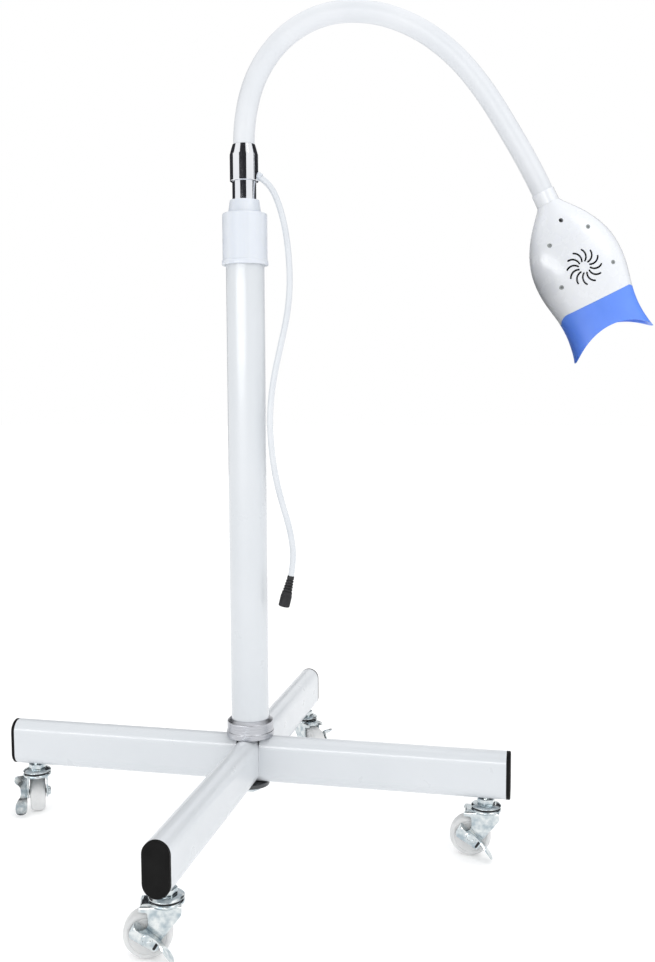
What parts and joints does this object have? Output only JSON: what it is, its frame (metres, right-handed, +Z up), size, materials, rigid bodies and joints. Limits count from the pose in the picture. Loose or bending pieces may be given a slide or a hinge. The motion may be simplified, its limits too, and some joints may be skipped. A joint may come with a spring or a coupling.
{
  "type": "mobile curing light",
  "caption": "Mobile curing lamp: blue-edged light head on a bendable neck, telescoping column and cross base with braked castors.",
  "frame": {"origin": "on the floor, on the column's axis", "axes": "+Z up, +X and +Y along the arms of the cross base; the neck's plane is turned 12.4 degrees from +X towards +Y"},
  "size_m": [0.7018, 0.5609, 0.8745],
  "materials": {
    "white_paint": "gloss powder coat, faint orange peel",
    "black_plastic": "fine moulded texture",
    "dark_steel": "satin",
    "zinc_steel": "bright zinc plate",
    "dull_steel": "dull plated",
    "spun_aluminium": "turned, satin",
    "white_plastic": "smooth moulded",
    "polished_chrome": "mirror polished",
    "neck_cover": "smooth white sleeve",
    "head_plastic": "smooth gloss moulding",
    "blue_plastic": "smooth semi-gloss moulding",
    "clear_window": "clear",
    "nylon_wheel": "milky translucent nylon",
    "cord_jacket": "smooth PVC",
    "black_rubber": "matte moulded",
    "circuit_board": "solder mask",
    "led_face": "clear dome",
    "panel_film": "matt film"
  },
  "bodies": {
    "base": {"base_tube_x": "white_paint", "base_tube_y": "white_paint", "tube_end_caps": "black_plastic", "base_plate": "dark_steel", "center_bolt": "zinc_steel", "column_foot_plug": "dark_steel", "column_tube": "white_paint", "foot_collar": "spun_aluminium", "column_bush": "white_plastic", "castor_stems": "zinc_steel", "castor_nuts": "zinc_steel"},
    "lock_sleeve": {"lock_sleeve": "white_plastic"},
    "pole": {"inner_pole": "polished_chrome", "pole_foot_guide": "white_plastic"},
    "arm": {"neck_socket": "polished_chrome", "socket_screw": "zinc_steel", "cord_grommet": "white_plastic", "power_cord": "cord_jacket", "dc_jack_housing": "black_rubber", "dc_jack_contact": "zinc_steel", "neck_link_01": "neck_cover"},
    "neck_02": {"neck_link_02": "neck_cover"},
    "neck_03": {"neck_link_03": "neck_cover"},
    "neck_04": {"neck_link_04": "neck_cover"},
    "neck_05": {"neck_link_05": "neck_cover"},
    "neck_06": {"neck_link_06": "neck_cover"},
    "neck_07": {"neck_link_07": "neck_cover"},
    "neck_08": {"neck_link_08": "neck_cover"},
    "neck_09": {"neck_link_09": "neck_cover"},
    "neck_10": {"neck_link_10": "neck_cover"},
    "neck_11": {"neck_link_11": "neck_cover"},
    "neck_12": {"neck_link_12": "neck_cover"},
    "head": {"neck_link_13": "neck_cover", "neck_collar": "head_plastic", "rear_shell": "head_plastic", "front_shell": "head_plastic", "light_guard": "blue_plastic", "lens_window": "clear_window", "led_board": "circuit_board", "leds": "led_face", "heat_sink": "spun_aluminium", "fan_frame": "black_plastic", "control_board": "circuit_board", "control_panel": "panel_film", "head_screws": "dull_steel"},
    "fan_rotor": {"fan_rotor": "black_plastic"},
    "power_button": {"power_button": "blue_plastic"},
    "timer_button": {"timer_button": "blue_plastic"},
    "right_fork": {"right_castor_fork": "zinc_steel"},
    "right_wheel": {"right_castor_wheel": "nylon_wheel"},
    "right_brake": {"right_castor_brake": "zinc_steel"},
    "front_fork": {"front_castor_fork": "zinc_steel"},
    "front_wheel": {"front_castor_wheel": "nylon_wheel"},
    "front_brake": {"front_castor_brake": "zinc_steel"},
    "back_fork": {"back_castor_fork": "zinc_steel"},
    "back_wheel": {"back_castor_wheel": "nylon_wheel"},
    "back_brake": {"back_castor_brake": "zinc_steel"},
    "left_fork": {"left_castor_fork": "zinc_steel"},
    "left_wheel": {"left_castor_wheel": "nylon_wheel"},
    "left_brake": {"left_castor_brake": "zinc_steel"}
  },
  "joints": [
    {"name": "lock_sleeve_twist", "type": "hinge", "parent": "base", "child": "lock_sleeve", "pos_m": [0, 0, 0.63], "axis": [0, 0, 1], "range_deg": [0, 90]},
    {"name": "pole_slide", "type": "slide", "parent": "base", "child": "pole", "axis": [0, 0, 1], "range_m": [0, 0.38]},
    {"name": "arm_swivel", "type": "hinge", "parent": "pole", "child": "arm", "pos_m": [0, 0, 0.693], "axis": [0, 0, 1], "range_deg": [-170, 170]},
    {"name": "neck_bend_01", "type": "hinge", "parent": "arm", "child": "neck_02", "pos_m": [0, 0, 0.754], "axis": [-0.2147, 0.9767, 0], "range_deg": [-14.54, 2.91]},
    {"name": "neck_side_low", "type": "hinge", "parent": "neck_02", "child": "neck_03", "pos_m": [0.00591, 0.0013, 0.77723], "axis": [0.9451, 0.2078, -0.2521], "range_deg": [-20, 20]},
    {"name": "neck_bend_02", "type": "hinge", "parent": "neck_03", "child": "neck_04", "pos_m": [0.01182, 0.0026, 0.80045], "axis": [-0.2147, 0.9767, 0], "range_deg": [-21.81, 4.36]},
    {"name": "neck_bend_03", "type": "hinge", "parent": "neck_04", "child": "neck_05", "pos_m": [0.0397, 0.00873, 0.83903], "axis": [-0.2147, 0.9767, 0], "range_deg": [-25, 5]},
    {"name": "neck_bend_04", "type": "hinge", "parent": "neck_05", "child": "neck_06", "pos_m": [0.08094, 0.0178, 0.86186], "axis": [-0.2147, 0.9767, 0], "range_deg": [-26.1, 5.22]},
    {"name": "neck_bend_05", "type": "hinge", "parent": "neck_06", "child": "neck_07", "pos_m": [0.12779, 0.0281, 0.86371], "axis": [-0.2147, 0.9767, 0], "range_deg": [-20.22, 4.04]},
    {"name": "neck_bend_06", "type": "hinge", "parent": "neck_07", "child": "neck_08", "pos_m": [0.17235, 0.03789, 0.84879], "axis": [-0.2147, 0.9767, 0], "range_deg": [-16, 6]},
    {"name": "neck_bend_07", "type": "hinge", "parent": "neck_08", "child": "neck_09", "pos_m": [0.21061, 0.0463, 0.82106], "axis": [-0.2147, 0.9767, 0], "range_deg": [-16, 6]},
    {"name": "neck_bend_08", "type": "hinge", "parent": "neck_09", "child": "neck_10", "pos_m": [0.24112, 0.05301, 0.78461], "axis": [-0.2147, 0.9767, 0], "range_deg": [-16, 6]},
    {"name": "neck_bend_09", "type": "hinge", "parent": "neck_10", "child": "neck_11", "pos_m": [0.26637, 0.05857, 0.74418], "axis": [-0.2147, 0.9767, 0], "range_deg": [-16, 6]},
    {"name": "neck_side_high", "type": "hinge", "parent": "neck_11", "child": "neck_12", "pos_m": [0.27834, 0.0612, 0.72354], "axis": [-0.8398, -0.1846, -0.5105], "range_deg": [-20, 20]},
    {"name": "neck_bend_10", "type": "hinge", "parent": "neck_12", "child": "head", "pos_m": [0.29031, 0.06383, 0.7029], "axis": [-0.2147, 0.9767, 0], "range_deg": [-16, 6]},
    {"name": "fan_spin", "type": "hinge", "parent": "head", "child": "fan_rotor", "pos_m": [0.34127, 0.0607, 0.60224], "axis": [-0.2147, 0.9767, 0], "continuous": true},
    {"name": "power_button_press", "type": "slide", "parent": "head", "child": "power_button", "axis": [0.2147, -0.9767, 0], "range_m": [0, 0.0008], "stiffness_N_per_m": 400, "springref_m": -0.001},
    {"name": "timer_button_press", "type": "slide", "parent": "head", "child": "timer_button", "axis": [0.2147, -0.9767, 0], "range_m": [0, 0.0008], "stiffness_N_per_m": 400, "springref_m": -0.001},
    {"name": "right_swivel", "type": "hinge", "parent": "base", "child": "right_fork", "pos_m": [0.252, 0, 0.048], "axis": [0, 0, 1], "continuous": true},
    {"name": "right_roll", "type": "hinge", "parent": "right_fork", "child": "right_wheel", "pos_m": [0.23606, -0.00139, 0.021], "axis": [0.0872, -0.9962, 0], "continuous": true},
    {"name": "right_brake_press", "type": "hinge", "parent": "right_fork", "child": "right_brake", "pos_m": [0.23606, -0.00139, 0.021], "axis": [-0.0872, 0.9962, 0], "range_deg": [-60, 0]},
    {"name": "front_swivel", "type": "hinge", "parent": "base", "child": "front_fork", "pos_m": [0, -0.252, 0.048], "axis": [0, 0, 1], "continuous": true},
    {"name": "front_roll", "type": "hinge", "parent": "front_fork", "child": "front_wheel", "pos_m": [-0.0153, -0.25668, 0.021], "axis": [0.2924, -0.9563, 0], "continuous": true},
    {"name": "front_brake_press", "type": "hinge", "parent": "front_fork", "child": "front_brake", "pos_m": [-0.0153, -0.25668, 0.021], "axis": [-0.2924, 0.9563, 0], "range_deg": [-60, 0]},
    {"name": "back_swivel", "type": "hinge", "parent": "base", "child": "back_fork", "pos_m": [0, 0.252, 0.048], "axis": [0, 0, 1], "continuous": true},
    {"name": "back_roll", "type": "hinge", "parent": "back_fork", "child": "back_wheel", "pos_m": [0.01189, 0.24129, 0.021], "axis": [0.6691, 0.7431, 0], "continuous": true},
    {"name": "back_brake_press", "type": "hinge", "parent": "back_fork", "child": "back_brake", "pos_m": [0.01189, 0.24129, 0.021], "axis": [-0.6691, -0.7431, 0], "range_deg": [-60, 0]},
    {"name": "left_swivel", "type": "hinge", "parent": "base", "child": "left_fork", "pos_m": [-0.252, 0, 0.048], "axis": [0, 0, 1], "continuous": true},
    {"name": "left_roll", "type": "hinge", "parent": "left_fork", "child": "left_wheel", "pos_m": [-0.25951, 0.01413, 0.021], "axis": [-0.8829, -0.4695, 0], "continuous": true},
    {"name": "left_brake_press", "type": "hinge", "parent": "left_fork", "child": "left_brake", "pos_m": [-0.25951, 0.01413, 0.021], "axis": [0.8829, 0.4695, 0], "range_deg": [-60, 0]}
  ],
  "couplings": [
    {"joint": "neck_bend_01", "follows": "neck_bend_03", "ratio": 0.5817},
    {"joint": "neck_bend_02", "follows": "neck_bend_03", "ratio": 0.8725},
    {"joint": "neck_bend_04", "follows": "neck_bend_03", "ratio": 1.0438},
    {"joint": "neck_bend_05", "follows": "neck_bend_03", "ratio": 0.8088},
    {"joint": "neck_bend_07", "follows": "neck_bend_06", "ratio": 1},
    {"joint": "neck_bend_08", "follows": "neck_bend_06", "ratio": 1},
    {"joint": "neck_bend_09", "follows": "neck_bend_06", "ratio": 1},
    {"joint": "neck_bend_10", "follows": "neck_bend_06", "ratio": 1}
  ]
}
